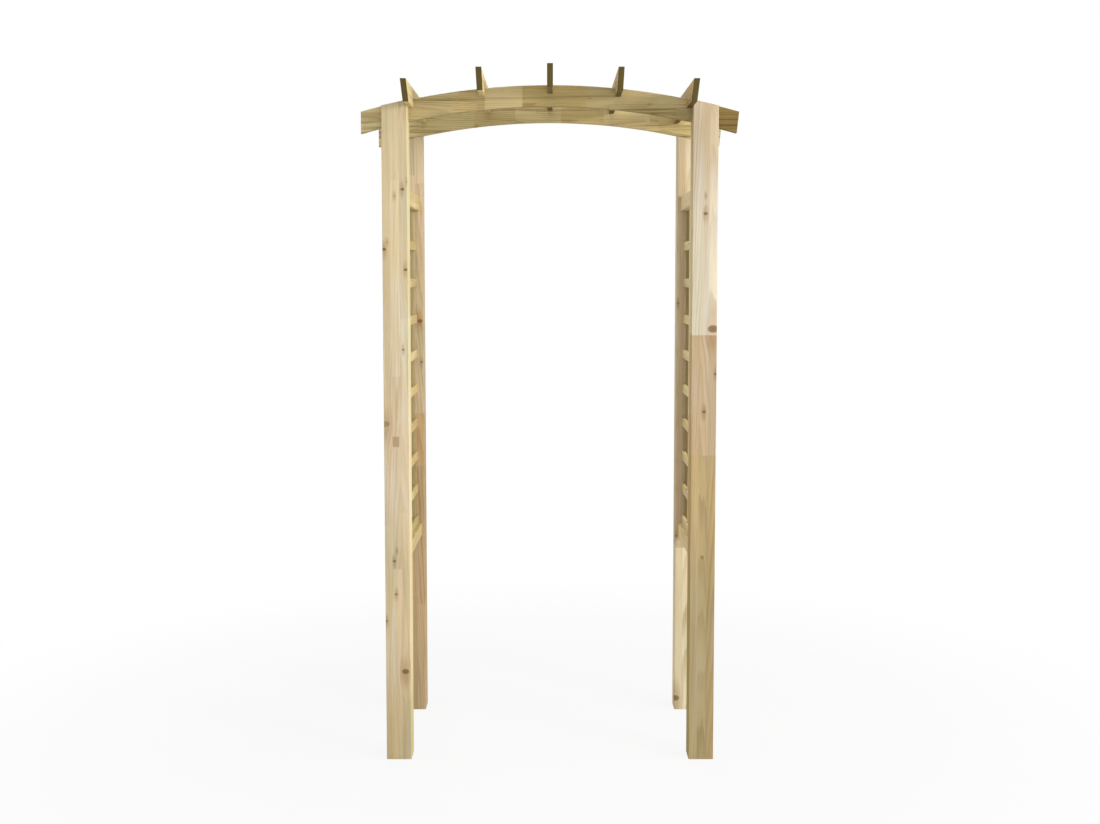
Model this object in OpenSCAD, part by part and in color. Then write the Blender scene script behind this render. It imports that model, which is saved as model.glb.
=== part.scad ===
// A timber trellis arch: four square posts, two curved beams let into the
// posts, five rafters notched over the beams, and a trellis in each side.
// Sizes are in millimetres. X is the width, Y the depth with the front at -Y,
// and Z is up. The origin is on the ground, midway between the four feet.

/* [Overall] */
// Height of the middle rafter's top edge above the ground
height = 2200; // [1800:10:2700]
// Clear width between the left and the right posts
passage_w = 898; // [700:1:1200]
// Clear depth between the front and the back posts
bay_depth = 440; // [300:10:700]

/* [Posts] */
// Width of each face of the square posts
post_w = 80; // [60:1:100]
// How far the posts' tops stand below the beams' top edge
post_top_drop = 6; // [0:1:15]

/* [Beams] */
// Radius of a beam's top edge
beam_r = 2215; // [1700:5:3000]
// Height of a beam, measured square to its curve
beam_h = 67; // [50:1:90]
// Thickness of a beam
beam_t = 24; // [18:1:32]
// How far a beam runs on past the posts at each end
beam_overhang = 71; // [30:1:120]
// Lean of the saw cut at a beam's left end, in degrees
cut_left = 0; // [0:0.5:12]
// Lean of the saw cut at a beam's right end, in degrees
cut_right = 6; // [0:0.5:12]

/* [Rafters] */
// Thickness of a rafter
rafter_t = 18; // [12:1:26]
// Height of a rafter
rafter_h = 60; // [45:1:90]
// How far a rafter's top edge stands above the beams
rafter_rise = 34; // [25:1:40]
// How far a rafter's top edge runs out past the posts
rafter_overhang = 175; // [100:5:250]
// How much shorter a rafter's bottom edge is at each end
rafter_slant = 79; // [40:1:95]
// Distance of the second and the fourth rafter from the middle one
inner_rafter_x = 215; // [150:1:280]
// How deep the first and the last rafter are let into the posts' inner faces
rafter_housing = 2; // [1:0.5:6]

/* [Side trellis] */
// Height of the trellis's lower edge above the ground
trellis_z = 638; // [200:1:800]
// Distance from the beams' crown down to the trellis's top edge
trellis_drop = 324; // [200:1:500]
// Distance of the rails' inner face behind the posts' inner face
rail_inset = 10; // [4:0.5:20]
// Thickness of the rails
rail_t = 21; // [16:1:28]
// Height of the top rail
top_rail_h = 51; // [40:1:70]
// Height of the bottom rail
bottom_rail_h = 43; // [36:1:70]
// Width of the lattice's bars
bar_w = 30; // [20:1:40]
// Thickness of the lattice's bars
bar_t = 9; // [6:1:12]
// Number of level bars
rung_count = 9; // [5:1:12]
// Gap between the top rail and the highest level bar
rung_gap = 109; // [60:1:160]
// How much wider the highest space between level bars is than the lowest
rung_grade = 16; // [0:1:30]
// Number of upright bars
lath_count = 4; // [2:1:6]

/* [Fits] */
// Clearance between pieces that are notched over or into each other
fit_gap = 0.3; // [0.1:0.1:0.5]

/* [Hidden] */

// Colours
post_colour = "#d6c3a0";
beam_colour = "#b9a576";
rafter_colour = "#a89560";
trellis_colour = "#d8c795";

// Facets of the beams' long curves
curve_fn = 720;

// The arch: the crown of its top edge, and the centre that it is drawn from
crown_z = height - rafter_rise;
centre_z = crown_z - beam_r;
beam_half = passage_w / 2 + post_w + beam_overhang;

// Where the posts stand, and where the beams lie in their depth
post_x = (passage_w + post_w) / 2;
post_y = (bay_depth + post_w) / 2;
beam_y = (bay_depth + beam_t) / 2;

// The rafters' places across the passage, and half the length of one
outer_rafter_x = (passage_w - rafter_t) / 2 + rafter_housing;
rafter_places = [-outer_rafter_x, -inner_rafter_x, 0, inner_rafter_x, outer_rafter_x];
rafter_half = bay_depth / 2 + post_w + rafter_overhang;

// The trellis, measured from the middle of the arch outwards
rail_x = (passage_w + rail_t) / 2 + rail_inset;
rail_back_x = rail_x + rail_t / 2;
trellis_top = crown_z - trellis_drop;
rung_low = trellis_z + bottom_rail_h;
rung_high = trellis_top - top_rail_h - rung_gap - bar_w;

// Height of the beams' top edge at a distance x from the middle
function arch_z(x) = centre_z + sqrt(beam_r * beam_r - x * x);

// Height of the lower edge of level bar i, counted from 0 at the bottom. The
// spaces between the bars grow evenly from the bottom to the top.
function rung_z(i) =
    let (last = rung_count - 1)
    rung_low + (rung_high - rung_low) * i / last - rung_grade * i * (last - i) / (2 * last);

// Draws an outline in the XZ plane and gives it a thickness in Y, centred on y
module upright(y, thickness) {
    translate([0, y, 0])
        rotate([90, 0, 0])
            linear_extrude(thickness, center = true)
                children();
}

// A curved band along the arch. Its edges stand proud of a beam's by grow.
module arch_band(grow) {
    reach = beam_half + beam_h;
    end_z = arch_z(beam_half);
    top = crown_z + beam_h;
    low = end_z - 2 * beam_h;
    intersection() {
        translate([0, centre_z])
            difference() {
                circle(beam_r + grow, $fn = curve_fn);
                circle(beam_r - beam_h - grow, $fn = curve_fn);
            }
        translate([-reach, low])
            square([2 * reach, top - low]);
    }
}

// A beam's outline: the band between its two sawn ends
module beam_outline() {
    end_z = arch_z(beam_half);
    top = crown_z + beam_h;
    low = end_z - 2 * beam_h;
    intersection() {
        arch_band(0);
        polygon([
            [-beam_half - (top - end_z) * tan(cut_left), top],
            [beam_half + (top - end_z) * tan(cut_right), top],
            [beam_half - (end_z - low) * tan(cut_right), low],
            [-beam_half + (end_z - low) * tan(cut_left), low]
        ]);
    }
}

// The space that the two beams take up, with the clearance around it
module beam_slots() {
    for (side = [-1, 1])
        upright(side * beam_y, beam_t + 2 * fit_gap)
            arch_band(fit_gap);
}

// Height of the lower edge of a rafter at a distance x from the middle
function rafter_low(x) = arch_z(x) + rafter_rise - rafter_h;

// The space that the first and the last rafter take up beside the posts
module rafter_housings() {
    low = rafter_low(outer_rafter_x) - fit_gap;
    for (side = [-1, 1])
        translate([side * outer_rafter_x - rafter_t / 2 - fit_gap, -rafter_half, low])
            cube([rafter_t + 2 * fit_gap, 2 * rafter_half, height - low]);
}

// A post stands on the ground. Its top follows the arch. There its inner
// corner is cut back twice: for the beam, which ends up flush with the face
// towards the other post of that side, and for the rafter beside it.
module post(side_x, side_y) {
    color(post_colour)
        difference() {
            intersection() {
                translate([side_x * post_x - post_w / 2, side_y * post_y - post_w / 2, 0])
                    cube([post_w, post_w, height]);
                upright(0, bay_depth + 3 * post_w)
                    translate([0, centre_z])
                        circle(beam_r - post_top_drop, $fn = curve_fn);
            }
            beam_slots();
            rafter_housings();
        }
}

// A beam is sawn to a curve from one board
module beam(side_y) {
    color(beam_colour)
        upright(side_y * beam_y, beam_t)
            beam_outline();
}

// A rafter is an upright board with slanted ends, notched over both beams
module rafter(x) {
    low = rafter_low(x);
    top = low + rafter_h;
    color(rafter_colour)
        difference() {
            translate([x - rafter_t / 2, 0, 0])
                rotate([90, 0, 90])
                    linear_extrude(rafter_t)
                        polygon([
                            [-rafter_half, top],
                            [rafter_half, top],
                            [rafter_half - rafter_slant, low],
                            [-rafter_half + rafter_slant, low]
                        ]);
            beam_slots();
        }
}

// A level rail fits between the front and the back post
module rail(side_x, z, rail_h) {
    color(trellis_colour)
        translate([side_x * rail_x - rail_t / 2, -bay_depth / 2, z])
            cube([rail_t, bay_depth, rail_h]);
}

module top_rail(side_x) {
    rail(side_x, trellis_top - top_rail_h, top_rail_h);
}

module bottom_rail(side_x) {
    rail(side_x, trellis_z, bottom_rail_h);
}

// The lattice: level bars flush with the rails' outer face, and upright bars
// across the outside of them and of the rails
module lattice(side_x) {
    rung_x = rail_back_x - bar_t / 2;
    lath_x = rail_back_x + bar_t / 2;
    lath_step = (bay_depth - bar_w) / (lath_count - 1);
    color(trellis_colour)
        union() {
            for (i = [0 : rung_count - 1])
                translate([side_x * rung_x - bar_t / 2, -bay_depth / 2, rung_z(i)])
                    cube([bar_t, bay_depth, bar_w]);
            for (i = [0 : lath_count - 1])
                translate([side_x * lath_x - bar_t / 2, -bay_depth / 2 + i * lath_step, trellis_z])
                    cube([bar_t, bar_w, trellis_top - trellis_z]);
        }
}

post(-1, -1);  // front_left_post
post(1, -1);  // front_right_post
post(-1, 1);  // back_left_post
post(1, 1);  // back_right_post
beam(-1);  // front_beam
beam(1);  // back_beam
rafter(rafter_places[0]);  // rafter_1
rafter(rafter_places[1]);  // rafter_2
rafter(rafter_places[2]);  // rafter_3
rafter(rafter_places[3]);  // rafter_4
rafter(rafter_places[4]);  // rafter_5
top_rail(-1);  // left_top_rail
bottom_rail(-1);  // left_bottom_rail
lattice(-1);  // left_lattice
top_rail(1);  // right_top_rail
bottom_rail(1);  // right_bottom_rail
lattice(1);  // right_lattice
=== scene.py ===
import math
import random

import bmesh
import bpy
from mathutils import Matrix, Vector


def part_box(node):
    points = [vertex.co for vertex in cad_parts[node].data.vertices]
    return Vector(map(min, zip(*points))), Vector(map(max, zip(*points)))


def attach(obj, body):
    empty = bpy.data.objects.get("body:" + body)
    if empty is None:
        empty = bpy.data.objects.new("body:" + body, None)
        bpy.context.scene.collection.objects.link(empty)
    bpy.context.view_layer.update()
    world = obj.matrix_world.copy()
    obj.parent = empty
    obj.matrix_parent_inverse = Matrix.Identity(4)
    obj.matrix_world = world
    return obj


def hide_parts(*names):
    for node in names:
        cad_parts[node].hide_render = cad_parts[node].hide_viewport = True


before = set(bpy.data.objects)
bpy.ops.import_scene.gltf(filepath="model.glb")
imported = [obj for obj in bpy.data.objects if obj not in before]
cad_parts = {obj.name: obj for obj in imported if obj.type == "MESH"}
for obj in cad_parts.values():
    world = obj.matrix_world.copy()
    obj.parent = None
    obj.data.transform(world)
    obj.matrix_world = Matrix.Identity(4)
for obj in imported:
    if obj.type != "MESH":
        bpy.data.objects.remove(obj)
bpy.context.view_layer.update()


# --- Posts ---------------------------------------------------------------------------------------
# Four square posts of planed, pressure-treated softwood carry everything. Each is glued up from
# staves that are finger-jointed end to end, so its tone changes from block to block. The top is
# sawn to the line of the arch, and notched for the beam and for the outermost rafter.

# How far the posts' long edges are eased, and every piece's sawn ends (m)
POST_EDGE = 0.002
END_LIP = 0.0005
POST_NAMES = ("front_left", "front_right", "back_left", "back_right")


class Flow:
    """A number, colour or vector that changes over a surface. Sums on numbers add Math nodes."""

    def __init__(self, finish, socket):
        self.finish = finish
        self.socket = socket

    def __add__(self, other):
        return self.finish.math("ADD", self, other)

    def __sub__(self, other):
        return self.finish.math("SUBTRACT", self, other)

    def __rsub__(self, other):
        return self.finish.math("SUBTRACT", other, self)

    def __mul__(self, other):
        return self.finish.math("MULTIPLY", self, other)

    def __truediv__(self, other):
        return self.finish.math("DIVIDE", self, other)

    __radd__ = __add__
    __rmul__ = __mul__


class Finish:
    """One material while it is being mixed."""

    def __init__(self, name):
        self.material = bpy.data.materials.new(name)
        self.material.use_nodes = True
        self.tree = self.material.node_tree
        self.shader = self.tree.nodes["Principled BSDF"]

    def feed(self, socket, value):
        """Links a changing value to a socket, or sets a fixed one on it."""
        if isinstance(value, Flow):
            self.tree.links.new(value.socket, socket)
        else:
            socket.default_value = value

    def node(self, kind, settings=None, sockets=None, output=0):
        """Adds a node, sets it up, feeds its sockets, and gives one of its outputs."""
        made = self.tree.nodes.new(kind)
        for key, value in (settings or {}).items():
            setattr(made, key, value)
        for key, value in (sockets or {}).items():
            self.feed(made.inputs[key], value)
        return Flow(self, made.outputs[output])

    def math(self, operation, *values):
        return self.node("ShaderNodeMath", {"operation": operation}, dict(enumerate(values)))

    def vector(self, operation, *values, output=0):
        return self.node("ShaderNodeVectorMath", {"operation": operation}, dict(enumerate(values)), output)

    def scaled(self, vector, factor):
        return self.node("ShaderNodeVectorMath", {"operation": "SCALE"}, {0: vector, "Scale": factor})

    def join(self, a, b, c):
        return self.node("ShaderNodeCombineXYZ", None, {0: a, 1: b, 2: c})

    def part(self, vector, index):
        return self.node("ShaderNodeSeparateXYZ", None, {0: vector}, index)

    def ramp(self, value, start, end, low=0.0, high=1.0):
        """Eases from low to high while the value goes from start to end."""
        sockets = {"Value": value, "From Min": start, "From Max": end, "To Min": low, "To Max": high}
        return self.node("ShaderNodeMapRange", {"interpolation_type": "SMOOTHSTEP"}, sockets)

    def noise(self, vector, detail=2.0, roughness=0.5):
        return self.node("ShaderNodeTexNoise", None, {"Vector": vector, "Scale": 1.0, "Detail": detail,
                                                      "Roughness": roughness})

    def blend(self, share, under, over, how="MIX"):
        """Lays one colour over another by a share from 0 to 1."""
        return self.node("ShaderNodeMix", {"data_type": "RGBA", "blend_type": how},
                         {0: share, 6: under, 7: over}, 2)


def tone(red, green, blue):
    """A colour given as it looks on a screen, from 0 to 255, as the shader wants it."""
    def straight(part):
        part = part / 255
        return part / 12.92 if part <= 0.04045 else ((part + 0.055) / 1.055) ** 2.4
    return (straight(red), straight(green), straight(blue), 1.0)


# How the grain's own directions (across, deep, along) pick from X, Y and Z
GRAIN_ORDER = {"X": (2, 1, 0), "Y": (0, 2, 1), "Z": (0, 1, 2)}


def timber(name, grain, centre, seed, tones, ring=0.0030, late=0.55, stave=0.0, block=0.0, joints=(),
           knots=(), plugs=(), sides=(), knotty=0.5, green=0.35, pale=0.2, streaky=0.35, patchy=0.18,
           bars=False):
    """Mixes a softwood: growth rings round a pith beside the piece, knots, fibres and sawn ends.

    joints are places along the grain, each with its softness and the wood's tone below it. knots are
    (x, y, z, radius, strength), plugs (x, y, z, half width, half length), and sides are directions,
    each with a painted light or painted shade tint multiplied onto the faces that look that way. bars
    gives each bar of a mesh its own wood.
    """
    finish = Finish(name)
    dice = random.Random(seed)
    order = GRAIN_ORDER[grain]

    def turned(point):
        return [point[axis] for axis in order]

    place = finish.node("ShaderNodeTexCoord", output="Object")
    spot = finish.vector("SUBTRACT", place, tuple(centre))
    number = 0.0
    if bars:
        number = finish.node("ShaderNodeAttribute", {"attribute_name": "bar"}, output="Fac")
        shift = finish.node("ShaderNodeTexWhiteNoise", {"noise_dimensions": "1D"}, {"W": number}, "Color")
        spot = finish.vector("ADD", spot, finish.scaled(shift, 3.0))
    spot = finish.join(*[finish.part(spot, axis) for axis in order])
    start = spot
    across, deep, along = (finish.part(spot, index) for index in range(3))

    # Which block of which stave this is. The fingers show as a zigzag on two of the four faces.
    fingers = finish.math("PINGPONG", deep, 0.0021) * 4.0
    length = along + fingers
    row = finish.math("FLOOR", across / stave + 0.5) if stave else 0.0
    step = 0.0
    if block:
        push = finish.node("ShaderNodeTexWhiteNoise", {"noise_dimensions": "2D"},
                           {"Vector": finish.join(row, seed * 1.7, 0.0)})
        step = finish.math("FLOOR", length / block + push * 3.0)
    ground = tones["sap"]
    for joint, blur, below in sorted(joints, reverse=True):
        joint = joint - turned(centre)[2]
        if blur == 0:
            step = step + finish.math("LESS_THAN", length, joint)
        beyond = finish.ramp(length, joint + blur + 0.0003, joint - blur - 0.0003)
        ground = finish.blend(beyond, ground, below)
    key = finish.join(row, step, number + float(seed)) if bars else finish.join(row, step, float(seed))
    throw = finish.node("ShaderNodeTexWhiteNoise", {"noise_dimensions": "3D"}, {"Vector": key}, "Color")
    throws = [finish.part(throw, index) for index in range(3)]

    # Knots listed one by one where they show most, and loose ones from cells along the grain
    knot = 0.0
    core = 9.0
    far = 9.0
    for x, y, z, radius, strength in knots:
        middle = Vector(turned((x, y, z))) - Vector(turned(centre))
        gap = finish.vector("SUBTRACT", spot, tuple(middle))
        reach = finish.vector("LENGTH", finish.vector("MULTIPLY", gap, (0.85, 0.45, 1.2)), output="Value")
        wide = finish.vector("LENGTH", finish.vector("MULTIPLY", gap, (1.0, 0.6, 0.32)), output="Value")
        knot = finish.math("MAXIMUM", knot, finish.ramp(reach, radius * 1.25, radius * 0.75) * strength)
        core = finish.math("MINIMUM", core, reach / radius)
        far = finish.math("MINIMUM", far, wide / radius)
        pull = finish.math("EXPONENT", finish.math("POWER", wide / (radius * 1.9), 2.0) * -1.0)
        spot = finish.vector("SUBTRACT", spot, finish.vector("MULTIPLY", gap, finish.join(pull, pull, 0.0)))
    if knotty:
        cells = finish.vector("MULTIPLY", start, (9.0, 9.0, 3.4))
        sockets = {"Vector": finish.vector("ADD", cells, (seed * 3.1, seed * 1.3, seed * 0.7)), "Scale": 1.0}
        middle = finish.node("ShaderNodeTexVoronoi", None, sockets, "Position")
        lot = finish.part(finish.node("ShaderNodeTexVoronoi", None, sockets, "Color"), 0)
        gap = finish.vector("SUBTRACT", sockets["Vector"], middle)
        gap = finish.vector("MULTIPLY", gap, (1 / 9.0, 1 / 9.0, 1 / 3.4))
        radius = finish.ramp(lot, 1.0 - knotty, 1.0, 0.0001, 0.009)
        reach = finish.vector("LENGTH", finish.vector("MULTIPLY", gap, (1.0, 1.0, 0.85)), output="Value")
        wide = finish.vector("LENGTH", finish.vector("MULTIPLY", gap, (1.0, 1.0, 0.34)), output="Value")
        knot = finish.math("MAXIMUM", knot, finish.ramp(reach / radius, 1.1, 0.84))
        core = finish.math("MINIMUM", core, reach / radius)
        far = finish.math("MINIMUM", far, wide / radius)
        pull = finish.math("EXPONENT", finish.math("POWER", wide / (radius * 1.9), 2.0) * -1.0)
        spot = finish.vector("SUBTRACT", spot, finish.vector("MULTIPLY", gap, finish.join(pull, pull, 0.0)))

    # Growth rings: the distance from a pith that lies beside the piece and wanders along it
    drift = finish.vector("MULTIPLY", spot, (5.0, 5.0, 1.1))
    drift = finish.noise(finish.vector("ADD", drift, finish.scaled(key, 7.3)), 1.0)
    pith_x = (throws[0] - 0.5) * 0.09 + (0.02 if dice.random() < 0.5 else -0.02)
    pith_y = throws[1] * 0.09 + 0.035
    side_x = finish.part(spot, 0) - pith_x + (drift - 0.5) * 0.03
    side_y = finish.part(spot, 1) - pith_y
    radius = finish.vector("LENGTH", finish.join(side_x, side_y, 0.0), output="Value")
    rough = finish.noise(finish.vector("MULTIPLY", spot, (70.0, 70.0, 5.0)), 2.0)
    count = radius / ring + finish.part(spot, 2) * 5.0 + rough * 0.9 + drift * 2.0
    year = finish.math("FRACT", count)
    weight = finish.node("ShaderNodeTexWhiteNoise", {"noise_dimensions": "1D"},
                         {"W": finish.math("FLOOR", count)})
    rings = finish.ramp(year, 0.25, 0.86) * finish.ramp(year, 1.0, 0.9) * (weight * 0.6 + 0.4)
    rings = rings * (throws[1] * 0.8 + 0.6)

    # Fibres, and the short dark dashes of the resin canals
    fibres = finish.noise(finish.vector("MULTIPLY", spot, (850.0, 850.0, 16.0)), 2.0)
    dashes = finish.ramp(finish.noise(finish.vector("MULTIPLY", spot, (520.0, 520.0, 36.0)), 0.0), 0.70, 0.80)
    patch = finish.noise(finish.vector("MULTIPLY", finish.vector("ADD", spot, (seed * 1.0, 0.0, 0.0)),
                                       (16.0, 16.0, 2.2)), 2.0)
    cloud = finish.noise(finish.vector("MULTIPLY", finish.vector("ADD", spot, (0.0, seed * 1.0, 0.0)),
                                       (26.0, 26.0, 3.5)), 3.0)

    streak = finish.noise(finish.vector("MULTIPLY", finish.vector("ADD", spot, (0.0, seed * 0.37, 0.0)),
                                        (95.0, 60.0, 1.9)), 3.0)
    blush = finish.noise(finish.vector("MULTIPLY", finish.vector("ADD", spot, (seed * 0.53, 0.0, 0.0)),
                                       (48.0, 40.0, 1.3)), 2.0)
    heart = finish.ramp(radius, 0.10, 0.045) * 0.3 + finish.ramp(throws[0], 0.55, 0.9) * 0.3

    def tinted(share, colour, name):
        """Shifts a colour by as much as the named tone differs from clean sapwood."""
        shift = tuple(new / old for new, old in zip(tones[name], tones["sap"]))
        return finish.blend(share, colour, shift, "MULTIPLY")

    colour = tinted(heart, ground, "heart")
    colour = tinted(finish.ramp(patch, 0.42, 0.66) * green, colour, "green")
    colour = tinted(finish.ramp(cloud, 0.45, 0.68) * pale, colour, "pale")
    colour = tinted(rings * late, colour, "late")
    colour = tinted(finish.ramp(streak, 0.50, 0.74) * streaky, colour, "late")
    colour = tinted(finish.ramp(blush, 0.54, 0.70) * 0.5, colour, "heart")
    shade = throws[2] * patchy + (0.99 - patchy / 2) + (fibres - 0.5) * 0.14 - dashes * 0.10
    colour = finish.blend(1.0, colour, finish.join(shade, shade, shade), "MULTIPLY")
    normal = finish.node("ShaderNodeNewGeometry", output="Normal")
    # Painted light and shade: faces that look along a given direction take its tint, brighter for painted
    # light, darker for painted shade
    for facing, painted_light_tint in sides:
        turn = finish.vector("DOT_PRODUCT", normal, facing, output="Value")
        colour = finish.blend(finish.ramp(turn, 0.5, 0.8), colour, painted_light_tint, "MULTIPLY")
    for x, y, z, wide, tall in plugs:
        middle = Vector(turned((x, y, z))) - Vector(turned(centre))
        off = finish.vector("ABSOLUTE", finish.vector("SUBTRACT", start, tuple(middle)))
        inside = finish.math("LESS_THAN", finish.part(off, 0), wide)
        inside = inside * finish.math("LESS_THAN", finish.part(off, 2), tall)
        inside = inside * finish.math("LESS_THAN", finish.part(off, 1), 0.012)
        colour = tinted(inside * 0.7, colour, "late")
    whorl = finish.math("FRACT", core * 2.6 + rough * 0.8)
    eye = finish.blend(finish.ramp(whorl, 0.2, 0.9), tones["knot"], tones["rim"])
    eye = finish.blend(finish.ramp(core, 0.72, 0.98), eye, tones["rim"])
    halo = finish.ramp(far + rough, 3.0, 1.2) * 0.5
    colour = tinted(halo, colour, "halo")
    colour = finish.blend(knot * 0.9, colour, eye)

    # Sawn ends drink up the preservative and stay darker; the rafters' end tones also carry painted shade
    end = finish.ramp(finish.math("ABSOLUTE", finish.part(normal, order[2])), 0.25, 0.45)
    cut = finish.blend(rings * 0.75, tones["end"], tones["end_late"])
    colour = finish.blend(end, colour, cut)

    finish.feed(finish.shader.inputs["Base Color"], colour)
    finish.feed(finish.shader.inputs["Roughness"], 0.74 + fibres * 0.14 - knot * 0.14)
    height = fibres * 0.25 - rings * 0.35 - dashes * 0.5 + knot * 0.5
    bump = finish.node("ShaderNodeBump", None, {"Strength": 0.35, "Distance": 0.0006, "Height": height})
    finish.feed(finish.shader.inputs["Normal"], bump)
    finish.shader.inputs["Specular IOR Level"].default_value = 0.12
    return finish.material


def eased_outline(width, height, edge, inset=0.0, steps=4):
    """A sawn section centred on 0, its four long edges eased by a quarter round."""
    points = []
    for corner, (side_a, side_b) in enumerate(((1, 1), (-1, 1), (-1, -1), (1, -1))):
        for step in range(steps + 1):
            angle = math.radians(90 * (corner + step / steps))
            a = side_a * (width / 2 - edge) + math.cos(angle) * (edge - inset)
            b = side_b * (height / 2 - edge) + math.sin(angle) * (edge - inset)
            points.append((a, b))
    return points


def add_board(mesh, place, length, width, height, edge, pieces, mark=0.0):
    """Skins one board into a mesh. place turns (a, b, share of the length) into a point."""
    bar = mesh.verts.layers.float.get("bar") or mesh.verts.layers.float.new("bar")
    stations = [(0.0, END_LIP), (END_LIP / length, 0.0)]
    stations += [(step / pieces, 0.0) for step in range(1, pieces)]
    stations += [(1.0 - END_LIP / length, 0.0), (1.0, END_LIP)]
    rings = []
    for share, inset in stations:
        ring = [mesh.verts.new(place(a, b, share)) for a, b in eased_outline(width, height, edge, inset)]
        for corner in ring:
            corner[bar] = mark
        rings.append(ring)
    for near, far in zip(rings, rings[1:]):
        for index in range(len(near)):
            after = (index + 1) % len(near)
            mesh.faces.new((near[index], near[after], far[after], far[index]))
    mesh.faces.new(rings[0][::-1])
    mesh.faces.new(rings[-1])


SHARP_ANGLE = math.radians(32)


def shade_smooth(mesh):
    """Smooths a mesh everywhere but at its sharp edges."""
    for face in mesh.faces:
        face.smooth = True
    for edge in mesh.edges:
        edge.smooth = edge.calc_face_angle(0.0) < SHARP_ANGLE


def finish_piece(name, mesh, material=None):
    """Makes an object of the mesh."""
    bmesh.ops.recalc_face_normals(mesh, faces=mesh.faces)
    shade_smooth(mesh)
    data = bpy.data.meshes.new(name)
    mesh.to_mesh(data)
    mesh.free()
    piece = bpy.data.objects.new(name, data)
    bpy.context.scene.collection.objects.link(piece)
    if material:
        data.materials.append(material)
    return piece


def notch(piece, cutters):
    """Cuts the cutters' space out of a piece with crisp edges, and clears the cutters away."""
    for cutter in cutters:
        cut = piece.modifiers.new("notch", "BOOLEAN")
        cut.operation = "DIFFERENCE"
        cut.solver = "EXACT"
        cut.object = cutter
    bpy.context.view_layer.update()
    shape = bpy.data.meshes.new_from_object(piece.evaluated_get(bpy.context.evaluated_depsgraph_get()))
    piece.modifiers.clear()
    piece.data = shape
    for cutter in cutters:
        bpy.data.objects.remove(cutter)
    mesh = bmesh.new()
    mesh.from_mesh(shape)
    shade_smooth(mesh)
    mesh.to_mesh(shape)
    mesh.free()


# The arch, read off the front beam: its crown, and the radius from the fall to its upper end corner
beam_low, beam_high = (Vector(corner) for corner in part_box("front_beam"))
crown = beam_high.z
half_span = beam_high.x
end_corner = max(v.co.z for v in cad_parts["front_beam"].data.vertices if v.co.x < beam_low.x + 0.001)
rise = crown - end_corner
arch_radius = (half_span ** 2 + rise ** 2) / (2 * rise)
arch_centre = crown - arch_radius
BEAM_HEIGHT = 0.067
# The play that a notch leaves round what lies in it, and how far a beam's cutter runs past its ends
FIT = 0.0003
PAST_END = 0.03


def arch_height(x, below=0.0):
    """Height of the arch's top edge, or of a line below it, at a distance x from the middle."""
    radius = arch_radius - below
    return arch_centre + math.sqrt(radius ** 2 - x ** 2)


def slot_cutter(y_low, y_high):
    """The space of one beam, with its clearance, as a cutter."""
    mesh = bmesh.new()
    turn = math.asin((half_span + PAST_END) / arch_radius)
    slices = 96
    rings = []
    for index in range(slices + 1):
        angle = -turn + 2 * turn * index / slices
        ring = []
        for y, radius in ((y_low - FIT, arch_radius + FIT), (y_high + FIT, arch_radius + FIT),
                          (y_high + FIT, arch_radius - BEAM_HEIGHT - FIT),
                          (y_low - FIT, arch_radius - BEAM_HEIGHT - FIT)):
            ring.append(mesh.verts.new((radius * math.sin(angle), y, arch_centre + radius * math.cos(angle))))
        rings.append(ring)
    for near, far in zip(rings, rings[1:]):
        for index in range(4):
            after = (index + 1) % 4
            mesh.faces.new((near[index], near[after], far[after], far[index]))
    mesh.faces.new(rings[0][::-1])
    mesh.faces.new(rings[-1])
    return finish_piece("cutter", mesh)


def lathe(mesh, place, direction, profile, sides=20):
    """Turns a profile of (radius, height) round a line through place, closed at both ends."""
    across, along = direction.orthogonal().normalized(), direction.normalized()
    third = along.cross(across)
    rings = []
    for radius, height in profile:
        ring = []
        for side in range(sides):
            turn = 2 * math.pi * side / sides
            out = across * math.cos(turn) + third * math.sin(turn)
            ring.append(mesh.verts.new(place + out * radius + along * height))
        rings.append(ring)
    for near, far in zip(rings, rings[1:]):
        for side in range(sides):
            after = (side + 1) % sides
            mesh.faces.new((near[side], near[after], far[after], far[side]))
    mesh.faces.new(rings[0][::-1])
    mesh.faces.new(rings[-1])


# A screw's countersunk hole: its radius at each height over the board's face (m)
SUNK_HOLE = ((0.0030, -0.0022), (0.0044, -0.0004), (0.0044, 0.0010))


def sunk_cutter(place, direction):
    """The countersunk hole of a screw, as a cutter."""
    mesh = bmesh.new()
    lathe(mesh, place, direction, SUNK_HOLE)
    return finish_piece("cutter", mesh)


def box_cutter(low, high):
    """A box between two corners, as a cutter."""
    mesh = bmesh.new()
    bmesh.ops.create_cube(mesh, size=1.0)
    size = Vector(high) - Vector(low)
    middle = (Vector(high) + Vector(low)) / 2
    for corner in mesh.verts:
        corner.co = Vector((corner.co.x * size.x, corner.co.y * size.y, corner.co.z * size.z)) + middle
    return finish_piece("cutter", mesh)


# The lowest and highest y of each beam, and the box of the rafter that lies furthest right
beam_spans = [(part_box(name)[0][1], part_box(name)[1][1]) for name in ("front_beam", "back_beam")]
outer_low, outer_high = (Vector(corner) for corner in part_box("rafter_5"))
POST_STAVE = 0.0267
POST_TONES = {
    "sap": tone(220, 203, 170), "heart": tone(208, 182, 148), "late": tone(172, 149, 113),
    "green": tone(192, 184, 144), "pale": tone(223, 216, 201), "knot": tone(134, 94, 50),
    "rim": tone(66, 50, 30), "halo": tone(178, 146, 106), "end": tone(160, 136, 94),
    "end_late": tone(116, 92, 56),
}
# The two front posts' faces towards the passage: painted light on the left post's, making it paler and
# creamier, and painted shade on the right post's, making it darker and greener
LEFT = (-1.0, 0.0, 0.0)
RIGHT = (1.0, 0.0, 0.0)
PAINTED_LIGHT_FACE = (RIGHT, (1.24, 1.30, 1.14, 1.0))
PAINTED_SHADE_FACE = (LEFT, (0.86, 0.82, 0.54, 1.0))
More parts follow.
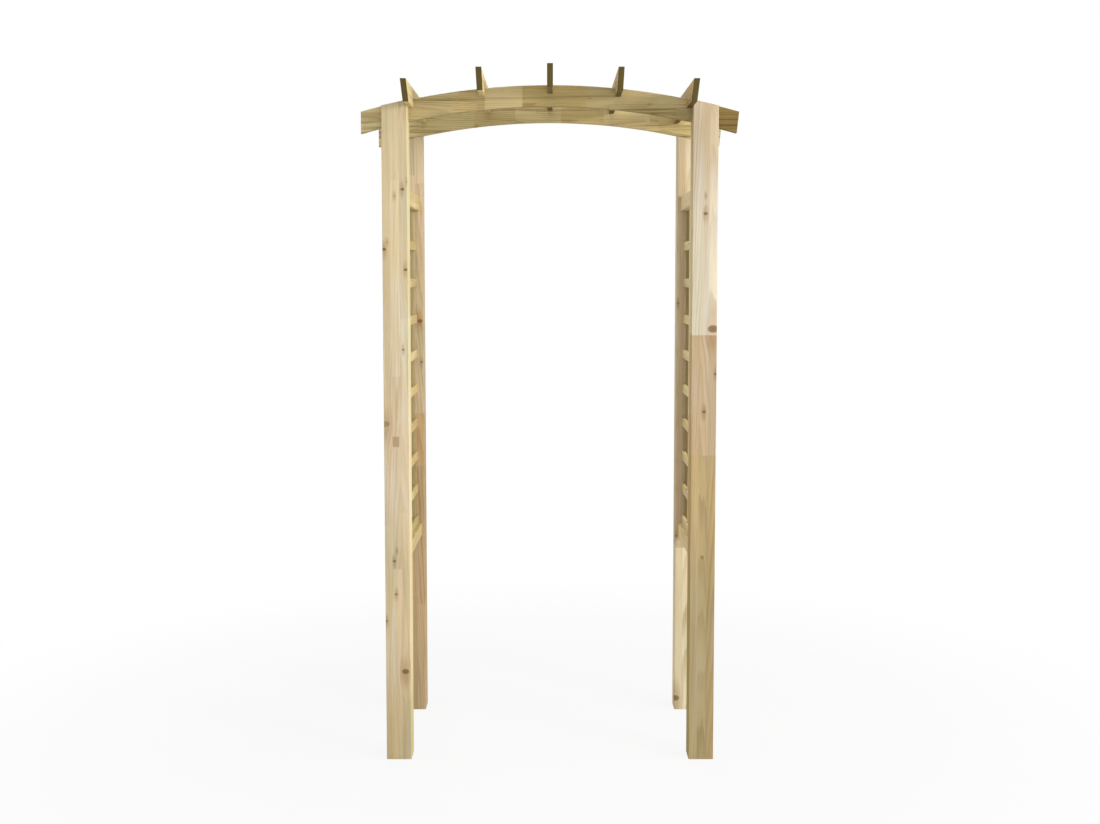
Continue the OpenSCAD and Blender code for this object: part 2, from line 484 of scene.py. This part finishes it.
# Each post's joints, knots, let-in plugs and faces with painted light and shade, and how much of each tone it
# takes
POST_MARKS = {
    "front_left": {
        "joints": ((0.268, 0.20, tone(188, 170, 131)), (0.760, 0.12, tone(203, 184, 149)),
                   (1.200, 0.08, tone(210, 190, 156)), (1.500, 0.10, tone(212, 196, 164)),
                   (2.300, 0, tone(208, 190, 153))),
        "knots": ((-0.464, -0.3, 1.835, 0.0050, 0.9), (-0.490, -0.3, 1.814, 0.0032, 0.35),
                  (-0.4515, -0.3, 1.858, 0.0030, 0.4), (-0.524, -0.3, 1.647, 0.0060, 0.9),
                  (-0.516, -0.3, 1.669, 0.0030, 0.4), (-0.456, -0.3, 1.583, 0.0050, 0.9),
                  (-0.4655, -0.3, 1.330, 0.0035, 0.8), (-0.524, -0.3, 1.093, 0.0110, 0.55),
                  (-0.491, -0.3, 0.684, 0.0030, 0.4), (-0.499, -0.3, 0.651, 0.0040, 0.9),
                  (-0.494, -0.3, 0.543, 0.0040, 0.8), (-0.526, -0.3, 0.455, 0.0040, 0.8),
                  (-0.466, -0.3, 0.290, 0.0095, 0.9)),
        "plugs": ((-0.491, -0.3, 1.036, 0.0105, 0.0165),), "sides": (PAINTED_LIGHT_FACE,),
        "seed": 3, "green": 0.45, "pale": 0.45, "block": 0.62, "late": 0.28,
    },
    "front_right": {
        "joints": ((0.662, 0.25, tone(173, 154, 113)), (1.000, 0, tone(188, 164, 120)),
                   (1.384, 0, tone(191, 166, 133)), (1.840, 0.20, tone(212, 200, 176)),
                   (2.300, 0, tone(190, 172, 142))),
        "knots": ((0.4895, -0.3, 1.815, 0.0030, 0.4), (0.490, -0.3, 1.759, 0.0055, 0.9),
                  (0.517, -0.3, 1.396, 0.0140, 0.90), (0.526, -0.3, 1.253, 0.0045, 0.9),
                  (0.490, -0.3, 1.132, 0.0050, 0.9)),
        "plugs": ((0.4875, -0.3, 0.663, 0.0055, 0.006),), "sides": (PAINTED_SHADE_FACE,),
        "seed": 11, "green": 0.30, "pale": 0.45, "block": 0.0, "late": 0.36,
    },
    "back_left": {
        "joints": ((0.330, 0.20, tone(184, 160, 122)), (1.084, 0, tone(194, 166, 126)),
                   (2.300, 0, tone(208, 188, 154))),
        "knots": ((-0.4605, 0.22, 1.404, 0.0075, 0.9), (-0.4555, 0.22, 1.259, 0.0040, 0.8)),
        "plugs": (), "sides": (), "seed": 23, "green": 0.40, "pale": 0.15, "block": 0.5, "late": 0.5,
    },
    "back_right": {
        "joints": ((0.600, 0, tone(220, 203, 166)), (1.080, 0, tone(204, 183, 148)),
                   (2.300, 0, tone(212, 194, 158))),
        "knots": ((0.452, 0.22, 0.042, 0.0120, 0.85), (0.452, 0.22, 1.466, 0.0040, 0.8),
                  (0.449, 0.22, 0.635, 0.0050, 0.8)),
        "plugs": (), "sides": (), "seed": 31, "green": 0.35, "pale": 0.25, "block": 0.0, "late": 0.5,
    },
}

for post_name in POST_NAMES:
    low, high = (Vector(corner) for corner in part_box(post_name + "_post"))
    middle = (low + high) / 2
    marks = POST_MARKS[post_name]
    # The post's top starts at the outermost rafter's outer face, so its drop below the arch is read there
    top_drop = arch_height(outer_high.x) - high.z
    finish = timber("post_timber_" + post_name, "Z", middle, tones=POST_TONES, stave=POST_STAVE,
                    knotty=0.35, streaky=0.3, **marks)

    def post_place(a, b, share):
        x = middle.x + a
        return (x, middle.y + b, share * arch_height(x, top_drop))

    mesh = bmesh.new()
    add_board(mesh, post_place, high.z, high.x - low.x, high.y - low.y, POST_EDGE, 24)
    post = finish_piece("post." + post_name, mesh, finish)
    side = 1 if middle.x > 0 else -1
    seat = side * (outer_low.x + outer_high.x) / 2
    half = (outer_high.x - outer_low.x) / 2 + FIT
    housing = box_cutter((seat - half, outer_low.y, outer_low.z - FIT),
                         (seat + half, outer_high.y, outer_high.z + FIT))
    notch(post, [slot_cutter(*beam_spans[0 if middle.y < 0 else 1]), housing])
    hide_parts(post_name + "_post")
    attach(post, "root")


# --- Beams ---------------------------------------------------------------------------------------
# Two curved beams are sawn from wide boards, which are themselves glued up from short blocks. They
# lie in the posts' notches, screwed from inside, and stay greener and darker than the posts.

BEAM_EDGE = 0.0025
BEAM_STAVE = 0.040
BEAM_BLOCK = 0.21
# The length along the arch, and the slope of the right end, whose foot stands further in
BEAM_LENGTH = 1.23
END_LEAN = math.tan(math.radians(6))
BEAM_TONES = {
    "sap": tone(194, 176, 130), "heart": tone(186, 162, 116), "late": tone(132, 110, 66),
    "green": tone(166, 152, 100), "pale": tone(204, 190, 150), "knot": tone(112, 78, 42),
    "rim": tone(66, 48, 26), "halo": tone(150, 116, 68), "end": tone(150, 126, 78),
    "end_late": tone(106, 82, 44),
}
BEAM_MARKS = {
    "front_beam": {
        "joints": ((-0.450, 0, tone(214, 196, 148)), (-0.308, 0, tone(186, 169, 124)),
                   (-0.204, 0, tone(186, 166, 118)), (-0.085, 0, tone(198, 180, 134)),
                   (0.116, 0, tone(180, 160, 110)), (0.311, 0, tone(182, 164, 119)),
                   (0.490, 0, tone(184, 168, 123)), (0.700, 0, tone(138, 118, 72))),
        "seed": 5,
    },
    "back_beam": {
        "joints": ((-0.262, 0, tone(218, 200, 148)), (-0.120, 0, tone(212, 192, 140)),
                   (0.041, 0, tone(222, 204, 154)), (0.190, 0, tone(210, 190, 136)),
                   (0.352, 0, tone(218, 200, 150)), (0.620, 0, tone(206, 187, 136))),
        "seed": 17,
    },
}

# Two screws at each end of a beam: how far from the middle, and how far below the arch's top edge
SCREW_X = 0.504
SCREW_DROPS = (0.018, 0.049)
# Each screw's place, and the way it faces
screw_places = []

for beam_name, marks in BEAM_MARKS.items():
    low, high = (Vector(corner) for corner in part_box(beam_name))
    middle = (low + high) / 2
    finish = timber("beam_timber_" + beam_name, "X", middle, tones=BEAM_TONES, stave=BEAM_STAVE,
                    block=BEAM_BLOCK, knotty=0.45, green=0.5, pale=0.3, late=0.62, streaky=0.75,
                    patchy=0.08, **marks)

    def beam_place(a, b, share):
        radius = arch_radius - BEAM_HEIGHT / 2 + b
        left = -math.asin(half_span / radius)
        right = -left
        # The leaning end and the arch meet where a few rounds settle
        for _ in range(12):
            cut = half_span + (arch_centre + radius * math.cos(right) - end_corner) * END_LEAN
            right = math.asin(cut / radius)
        angle = left + (right - left) * share
        return (radius * math.sin(angle), middle.y + a, arch_centre + radius * math.cos(angle))

    mesh = bmesh.new()
    add_board(mesh, beam_place, BEAM_LENGTH, high.y - low.y, BEAM_HEIGHT, BEAM_EDGE, 128)
    beam = finish_piece("beam." + beam_name.split("_")[0], mesh, finish)
    inside = Vector((0, 1 if middle.y < 0 else -1, 0))
    face_y = inside.y * ((high.y - low.y) / 2 - abs(middle.y))
    heads = [(Vector((x, face_y, arch_height(x, below))), inside)
             for x in (-SCREW_X, SCREW_X) for below in SCREW_DROPS]
    screw_places += heads
    notch(beam, [sunk_cutter(place, way) for place, way in heads])
    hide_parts(beam_name)
    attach(beam, "root")


# --- Rafters -------------------------------------------------------------------------------------
# Five rafters of narrow planed board stand on edge across the beams, notched down over both. Their
# ends are sawn on a slant, and the two outermost lie in shallow housings in the posts.

RAFTER_EDGE = 0.0015
# How far a rafter's lower edge ends short of its upper one
RAFTER_SLANT = 0.079
# The rafters' sawn-end tones are darker than the other pieces': partly their end grain, partly painted shade
# on the slanted ends, which face down
RAFTER_TONES = {
    "sap": tone(226, 210, 156), "heart": tone(214, 190, 138), "late": tone(176, 152, 98),
    "green": tone(188, 178, 116), "pale": tone(220, 208, 164), "knot": tone(120, 86, 50),
    "rim": tone(70, 52, 30), "halo": tone(156, 122, 74), "end": tone(98, 86, 46),
    "end_late": tone(80, 68, 35),
}
# Painted shade: the three rafters on the right are darker underneath, and the last two on their left side too
PAINTED_UNDERSIDE_SHADE = ((0.0, 0.0, -1.0), (0.30, 0.27, 0.22, 1.0))
SHADED_SIDE = (LEFT, (0.75, 0.68, 0.55, 1.0))
RAFTER_PAINTED_SHADE = ((), (), (PAINTED_UNDERSIDE_SHADE,), (PAINTED_UNDERSIDE_SHADE, SHADED_SIDE), (PAINTED_UNDERSIDE_SHADE, SHADED_SIDE))
# The boards are not all of one colour, so each rafter has its own
RAFTER_SAP = (tone(228, 211, 156), tone(228, 211, 158), tone(212, 194, 140), tone(202, 182, 128),
              tone(198, 176, 126))

for index in range(5):
    rafter_name = "rafter_%d" % (index + 1)
    low, high = (Vector(corner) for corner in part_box(rafter_name))
    middle = (low + high) / 2
    # One joint past the board's end gives the whole of it one tone
    finish = timber("rafter_timber_%d" % (index + 1), "Y", middle, 40 + 3 * index, RAFTER_TONES,
                    joints=((2.0, 0, RAFTER_SAP[index]),), sides=RAFTER_PAINTED_SHADE[index],
                    knotty=0.5, green=0.5, pale=0.25, late=0.60)

    def rafter_place(a, b, share):
        reach = high.y - RAFTER_SLANT * (high.z - middle.z - b) / (high.z - low.z)
        return (middle.x + a, reach * (2 * share - 1), middle.z + b)

    mesh = bmesh.new()
    add_board(mesh, rafter_place, high.y - low.y, high.x - low.x, high.z - low.z, RAFTER_EDGE, 32)
    rafter = finish_piece("rafter.%d" % (index + 1), mesh, finish)
    heads = [(Vector((middle.x, sum(span) / 2, high.z)), Vector((0, 0, 1))) for span in beam_spans]
    screw_places += heads
    notch(rafter, [slot_cutter(*span) for span in beam_spans]
          + [sunk_cutter(place, way) for place, way in heads])
    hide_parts(rafter_name)
    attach(rafter, "root")


# --- Side rails ----------------------------------------------------------------------------------
# A rail at the top and one at the bottom join the front and the back post of each side. They are
# short planed boards between the posts' inner faces, screwed on a slant, and carry the lattice.

RAIL_EDGE = 0.002
RAIL_TONES = {
    "sap": tone(212, 194, 148), "heart": tone(204, 178, 132), "late": tone(172, 146, 96),
    "green": tone(192, 180, 122), "pale": tone(222, 210, 174), "knot": tone(122, 86, 48),
    "rim": tone(70, 50, 28), "halo": tone(172, 136, 84), "end": tone(164, 142, 92),
    "end_late": tone(120, 96, 54),
}
# The left side's rails and level bars take a darker tone than the right side's
SIDE_SAP = {"left": tone(185, 164, 112), "right": tone(226, 208, 152)}

for index, place_name in enumerate(("left_top", "left_bottom", "right_top", "right_bottom")):
    rail_name = place_name + "_rail"
    rail_tones = dict(RAIL_TONES, sap=SIDE_SAP[place_name.split("_")[0]])
    low, high = (Vector(corner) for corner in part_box(rail_name))
    middle = (low + high) / 2
    finish = timber("rail_timber_%d" % (index + 1), "Y", middle, 60 + 7 * index, rail_tones,
                    knotty=0.4, green=0.45, pale=0.25, late=0.50)

    def rail_place(a, b, share):
        return (middle.x + a, low.y + (high.y - low.y) * share, middle.z + b)

    mesh = bmesh.new()
    add_board(mesh, rail_place, high.y - low.y, high.x - low.x, high.z - low.z, RAIL_EDGE, 12)
    rail = finish_piece("rail." + place_name, mesh, finish)
    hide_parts(rail_name)
    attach(rail, "root")


# --- Lattice -------------------------------------------------------------------------------------
# Each side is closed by a lattice of thin planed bars. Nine level bars run between the posts behind
# four upright ones, which cross them and both rails on the outside and are nailed at each crossing.

BAR_EDGE = 0.0013
BAR_WIDTH = 0.030
BAR_TONES = {
    "sap": tone(214, 194, 146), "heart": tone(208, 180, 132), "late": tone(174, 146, 96),
    "green": tone(194, 180, 120), "pale": tone(224, 210, 172), "knot": tone(120, 84, 46),
    "rim": tone(68, 48, 28), "halo": tone(168, 132, 84), "end": tone(160, 138, 88),
    "end_late": tone(116, 92, 52),
}
# Painted shade: the right-hand laths are darker on their front edges, and all the upright laths take darker,
# greener tones than the level bars
LATH_FRONT_PAINTED_SHADE = {-1: (), 1: (((0.0, -1.0, 0.0), (0.46, 0.43, 0.36, 1.0)),)}
LATH_PAINTED_SHADE_TONES = dict(BAR_TONES, sap=tone(176, 160, 114), heart=tone(168, 144, 102), late=tone(134, 114, 70),
                  green=tone(156, 148, 96), pale=tone(190, 178, 136))


def steps_of(name, axis, keep):
    """The middles of a lattice's parallel bars, found from its corners that keep lets through."""
    found = sorted({round(v.co[axis], 4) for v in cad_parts[name].data.vertices if keep(v.co)})
    pairs = [(low, high) for low, high in zip(found, found[1:]) if abs(high - low - BAR_WIDTH) < 0.008]
    return [(low + high) / 2 for low, high in pairs]


nail_places = []

for side, side_name in ((-1, "left"), (1, "right")):
    node_name = side_name + "_lattice"
    low, high = (Vector(corner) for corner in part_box(node_name))
    rail_low, rail_high = (Vector(corner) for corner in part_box(side_name + "_top_rail"))
    seam = side * max(abs(rail_low.x), abs(rail_high.x))
    inner = side * min(abs(low.x), abs(high.x))
    outer = side * max(abs(low.x), abs(high.x))
    rung_heights = steps_of(node_name, 2, lambda co: abs(co.x - inner) < 0.0005)
    lath_places = steps_of(node_name, 1, lambda co: abs(co.x - outer) < 0.0005)
    centre = (low + high) / 2

    rungs = bmesh.new()
    for number, height in enumerate(rung_heights):

        def rung_place(a, b, share):
            return ((inner + seam) / 2 + a, low.y + (high.y - low.y) * share, height + b)

        add_board(rungs, rung_place, high.y - low.y, abs(seam - inner), BAR_WIDTH, BAR_EDGE, 10,
                  number + 1.0)
    rung_tones = dict(BAR_TONES, sap=SIDE_SAP[side_name])
    finish = timber("lattice_timber_level_" + side_name, "Y", centre, 80 + side, rung_tones, knotty=0.35,
                    green=0.45, pale=0.3, late=0.5, bars=True)
    level = finish_piece("lattice.level." + side_name, rungs, finish)

    laths = bmesh.new()
    for number, place_y in enumerate(lath_places):

        def lath_place(a, b, share):
            return ((outer + seam) / 2 + a, place_y + b, low.z + (high.z - low.z) * share)

        add_board(laths, lath_place, high.z - low.z, abs(outer - seam), BAR_WIDTH, BAR_EDGE, 24,
                  number + 21.0)
    finish = timber("lattice_timber_upright_" + side_name, "Z", centre, 90 + side, LATH_PAINTED_SHADE_TONES,
                    sides=LATH_FRONT_PAINTED_SHADE[side], knotty=0.35, green=0.45, pale=0.3, late=0.5, bars=True)
    standing = finish_piece("lattice.upright." + side_name, laths, finish)

    rail_heights = [sum(corner.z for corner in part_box(side_name + part)) / 2
                    for part in ("_top_rail", "_bottom_rail")]
    for height in rung_heights + rail_heights:
        nail_places += [(Vector((outer, place_y, height)), Vector((side, 0, 0))) for place_y in lath_places]

    for piece in (level, standing):
        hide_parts(node_name)
        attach(piece, "root")


# --- Screws and nails ----------------------------------------------------------------------------
# Countersunk, yellow-plated wood screws hold each rafter down on the beams, and the beams in the
# posts from inside. Small wire nails with flat heads hold the lattice's bars at every crossing.

STAR_RADIUS = 0.0016
HEAD_RADIUS = 0.0040
# A nail's shank and flat head: radius and height over the bar's face (m)
NAIL_SHAPE = ((0.0009, -0.0030), (0.0009, -0.0004), (0.0018, 0.0), (0.0018, 0.0002), (0.0015, 0.00035))
# How far a nail may stand off the middle of its crossing
NAIL_STRAY = 0.0025


def add_screw(mesh, place, direction):
    """A screw's head, with a six-pointed recess for the bit, and the start of its shank."""
    across, along = direction.orthogonal().normalized(), direction.normalized()
    third = along.cross(across)
    sides = 24

    def ring(radius_of, height):
        made = []
        for side in range(sides):
            turn = 2 * math.pi * side / sides
            out = across * math.cos(turn) + third * math.sin(turn)
            made.append(mesh.verts.new(place + out * radius_of(side) + along * height))
        return made

    def star(side):
        return STAR_RADIUS * (1.0 + 0.28 * math.cos(math.pi * side / 2))

    rings = [ring(lambda side: 0.0017, -0.0040), ring(lambda side: 0.0019, -0.0026),
             ring(lambda side: HEAD_RADIUS, -0.00075), ring(lambda side: HEAD_RADIUS, -0.0005),
             ring(lambda side: HEAD_RADIUS - 0.0003, -0.0004), ring(star, -0.0004),
             ring(lambda side: star(side) * 0.92, -0.0018)]
    for near, far in zip(rings, rings[1:]):
        for side in range(sides):
            after = (side + 1) % sides
            mesh.faces.new((near[side], near[after], far[after], far[side]))
    mesh.faces.new(rings[0][::-1])
    mesh.faces.new(rings[-1])


def plated(name, shiny, dull):
    """Mixes plated steel: bright where it is clean, duller and rougher where the plating is worn."""
    finish = Finish(name)
    place = finish.node("ShaderNodeTexCoord", output="Object")
    worn = finish.ramp(finish.noise(finish.vector("MULTIPLY", place, (700.0, 700.0, 700.0)), 3.0), 0.42, 0.62)
    finish.feed(finish.shader.inputs["Base Color"], finish.blend(worn, shiny, dull))
    finish.feed(finish.shader.inputs["Roughness"], 0.32 + worn * 0.25)
    finish.shader.inputs["Metallic"].default_value = 1.0
    return finish.material


mesh = bmesh.new()
for place, way in screw_places:
    add_screw(mesh, place, way)
screws = finish_piece("screws", mesh, plated("yellow_plating", tone(214, 190, 120), tone(150, 128, 84)))
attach(screws, "root")

mesh = bmesh.new()
dice = random.Random(7)
for place, way in nail_places:
    shift = Vector((0, dice.uniform(-NAIL_STRAY, NAIL_STRAY), dice.uniform(-NAIL_STRAY, NAIL_STRAY)))
    lathe(mesh, place + shift, way, NAIL_SHAPE, 14)
nails = finish_piece("nails", mesh, plated("zinc_plating", tone(186, 188, 190), tone(132, 134, 136)))
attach(nails, "root")


# --- Floor, light and camera ---------------------------------------------------------------------
# A plain pale floor and a white surround. The strongest soft lamps stand at the front right and at
# the right, weaker ones stand on the other sides, and even light comes from all round.

floor_mesh = bmesh.new()
bmesh.ops.create_grid(floor_mesh, x_segments=1, y_segments=1, size=14.0)
floor = finish_piece("floor", floor_mesh)
# The floor runs further back than forward, and lies just under the feet
FLOOR_BACK = 6.0
floor.location = (0, FLOOR_BACK, -0.0002)
floor_finish = Finish("floor_paint")
floor_finish.shader.inputs["Base Color"].default_value = (0.55, 0.55, 0.55, 1.0)
floor_finish.shader.inputs["Roughness"].default_value = 0.9
floor_finish.shader.inputs["Specular IOR Level"].default_value = 0.0


def seen(mixer):
    """1 for what the camera sees, by itself, in a gloss or through glass, and 0 for light on the object."""
    rays = [mixer.node("ShaderNodeLightPath", output=name)
            for name in ("Is Camera Ray", "Is Glossy Ray", "Is Transmission Ray")]
    return mixer.math("MAXIMUM", mixer.math("MAXIMUM", rays[0], rays[1]), rays[2])


glow = floor_finish.node("ShaderNodeEmission", None, {"Color": (1, 1, 1, 1), "Strength": 1.0})
plain = Flow(floor_finish, floor_finish.shader.outputs["BSDF"])
# The paint fades into the white surround, from close to the arch to well away from it (m)
FADE_START, FADE_END = 0.9, 2.6
where = floor_finish.node("ShaderNodeTexCoord", output="Object")
gap = floor_finish.vector("SUBTRACT", where, (0.0, -FLOOR_BACK, 0.0))
reach = floor_finish.vector("LENGTH", gap, output="Value")
share = seen(floor_finish) * floor_finish.ramp(reach, FADE_START, FADE_END, 0.88, 1.0)
shown = floor_finish.node("ShaderNodeMixShader", None, {0: share, 1: plain, 2: glow})
floor_finish.feed(floor_finish.tree.nodes["Material Output"].inputs["Surface"], shown)
floor.data.materials.append(floor_finish.material)


class Surround(Finish):
    """The world's own mix, built like a material's."""

    def __init__(self, world):
        world.use_nodes = True
        self.tree = world.node_tree


world = bpy.data.worlds.new("surround")
bpy.context.scene.world = world
air = Surround(world)
even_light = air.node("ShaderNodeBackground", None, {"Color": (1.0, 1.0, 1.0, 1.0), "Strength": 0.43})
backdrop = air.node("ShaderNodeBackground", None, {"Color": (1.0, 1.0, 1.0, 1.0), "Strength": 1.0})
whole = air.node("ShaderNodeMixShader", None, {0: seen(air), 1: even_light, 2: backdrop})
air.feed(air.tree.nodes["World Output"].inputs["Surface"], whole)

# Each lamp's name, place, width and height (m) and power (W). All face the middle of the arch.
LAMPS = (
    ("key", (5.5, -4.3, 2.9), 2.2, 1.6, 305.0),
    ("fill", (0.1, -4.6, 2.0), 2.6, 1.2, 50.0),
    ("right", (8.0, -0.7, 2.6), 4.0, 4.0, 300.0),
    ("left", (-8.0, -1.5, 2.4), 4.0, 4.0, 130.0),
    ("back", (-1.5, 8.0, 2.6), 4.0, 4.0, 260.0),
    ("overhead", (0.0, -0.6, 5.6), 3.0, 3.0, 75.0),
)
ARCH_MIDDLE = Vector((0.0, 0.0, 1.1))

for name, place, width, height, power in LAMPS:
    lamp_data = bpy.data.lights.new(name, "AREA")
    lamp_data.shape = "RECTANGLE"
    lamp_data.size = width
    lamp_data.size_y = height
    lamp_data.energy = power
    lamp = bpy.data.objects.new(name, lamp_data)
    lamp.location = place
    lamp.rotation_euler = (ARCH_MIDDLE - lamp.location).to_track_quat("-Z", "Y").to_euler()
    bpy.context.scene.collection.objects.link(lamp)

# The camera stands at eye level in front of the passage, and looks a little down
CAMERA_PLACE = (0.0, -4.697, 1.565)
CAMERA_TILT = math.radians(90 - 4.38)
camera_data = bpy.data.cameras.new("camera")
camera_data.sensor_width = 36.0
camera_data.lens = 45.43
camera_data.shift_y = -0.0275
camera = bpy.data.objects.new("camera", camera_data)
camera.location = CAMERA_PLACE
camera.rotation_euler = (CAMERA_TILT, 0.0, 0.0)
bpy.context.scene.collection.objects.link(camera)
bpy.context.scene.camera = camera
bpy.context.scene.view_settings.view_transform = "Standard"
